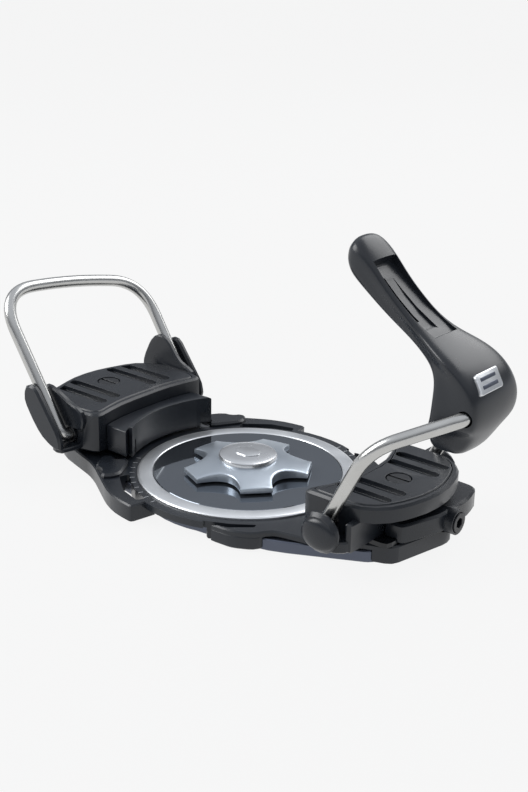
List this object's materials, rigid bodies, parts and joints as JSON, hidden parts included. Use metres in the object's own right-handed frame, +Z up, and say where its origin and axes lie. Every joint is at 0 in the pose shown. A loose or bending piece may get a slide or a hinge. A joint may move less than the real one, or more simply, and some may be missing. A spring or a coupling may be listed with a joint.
{
  "type": "snowboard plate binding",
  "caption": "Plate binding for hard boots: round turnable centre disc, sliding heel and toe blocks, wire heel bail and wire toe bail with a clamping lever.",
  "frame": {"origin": "middle of the centre disc's underside, on the board's surface", "axes": "+X from heel to toe, +Y across the boot, +Z up from the board"},
  "size_m": [0.2949, 0.1484, 0.1548],
  "materials": {
    "slate_plate": "anodised, satin",
    "black_nylon": "moulded, satin",
    "deep_black": "moulded, satin",
    "ring_silver": "satin",
    "mirror_cover": "polished",
    "star_blue": "satin anodised",
    "cap_silver": "brushed",
    "bail_steel": "polished stainless",
    "steel": "plated"
  },
  "bodies": {
    "base": {"flex_plate": "slate_plate", "frame": "black_nylon", "frame_screw_1": "steel", "frame_screw_2": "steel", "frame_screw_3": "steel", "frame_screw_4": "steel"},
    "disc": {"clamp_disc": "slate_plate", "angle_ring": "ring_silver", "disc_cover": "mirror_cover", "wave_washer": "steel"},
    "knob": {"star_knob": "star_blue", "star_cap": "cap_silver", "lock_shaft": "steel"},
    "heel_unit": {"heel_carriage": "deep_black", "heel_tee_nut": "steel", "heel_riser": "black_nylon", "heel_arc_wall": "black_nylon", "heel_block": "black_nylon", "heel_pad": "black_nylon", "heel_pad_screw": "deep_black", "heel_bush_near": "deep_black", "heel_bush_far": "deep_black"},
    "heel_hoop": {"heel_bail": "bail_steel"},
    "toe_unit": {"toe_carriage": "deep_black", "toe_tee_nut": "steel", "toe_riser": "black_nylon", "toe_adjust_screw": "deep_black", "toe_block": "black_nylon", "toe_pad": "black_nylon", "toe_pad_screw": "deep_black", "toe_bush_near": "deep_black", "toe_bush_far": "deep_black"},
    "toe_hoop": {"toe_bail": "bail_steel"},
    "lever": {"toe_lever": "black_nylon", "lever_badge": "ring_silver"}
  },
  "joints": [
    {"name": "stance_angle", "type": "hinge", "parent": "base", "child": "disc", "pos_m": [0, 0, 0], "axis": [0, 0, 1], "continuous": true},
    {"name": "knob_turn", "type": "hinge", "parent": "disc", "child": "knob", "pos_m": [0, 0, 0.012], "axis": [0, 0, 1], "range_deg": [0, 60]},
    {"name": "heel_slide", "type": "slide", "parent": "base", "child": "heel_unit", "axis": [1, 0, 0], "range_m": [-0.004, 0.008]},
    {"name": "heel_bail_swing", "type": "hinge", "parent": "heel_unit", "child": "heel_hoop", "pos_m": [-0.093, 0, 0.022], "axis": [0, 1, 0], "range_deg": [0, 65]},
    {"name": "toe_slide", "type": "slide", "parent": "base", "child": "toe_unit", "axis": [1, 0, 0], "range_m": [-0.012, 0.008]},
    {"name": "toe_bail_swing", "type": "hinge", "parent": "toe_unit", "child": "toe_hoop", "pos_m": [0.087, 0, 0.024], "axis": [0, 1, 0], "range_deg": [-60, 25]},
    {"name": "lever_swing", "type": "hinge", "parent": "toe_hoop", "child": "lever", "pos_m": [0.1446, 0, 0.086], "axis": [0, 1, 0], "range_deg": [0, 110]}
  ]
}
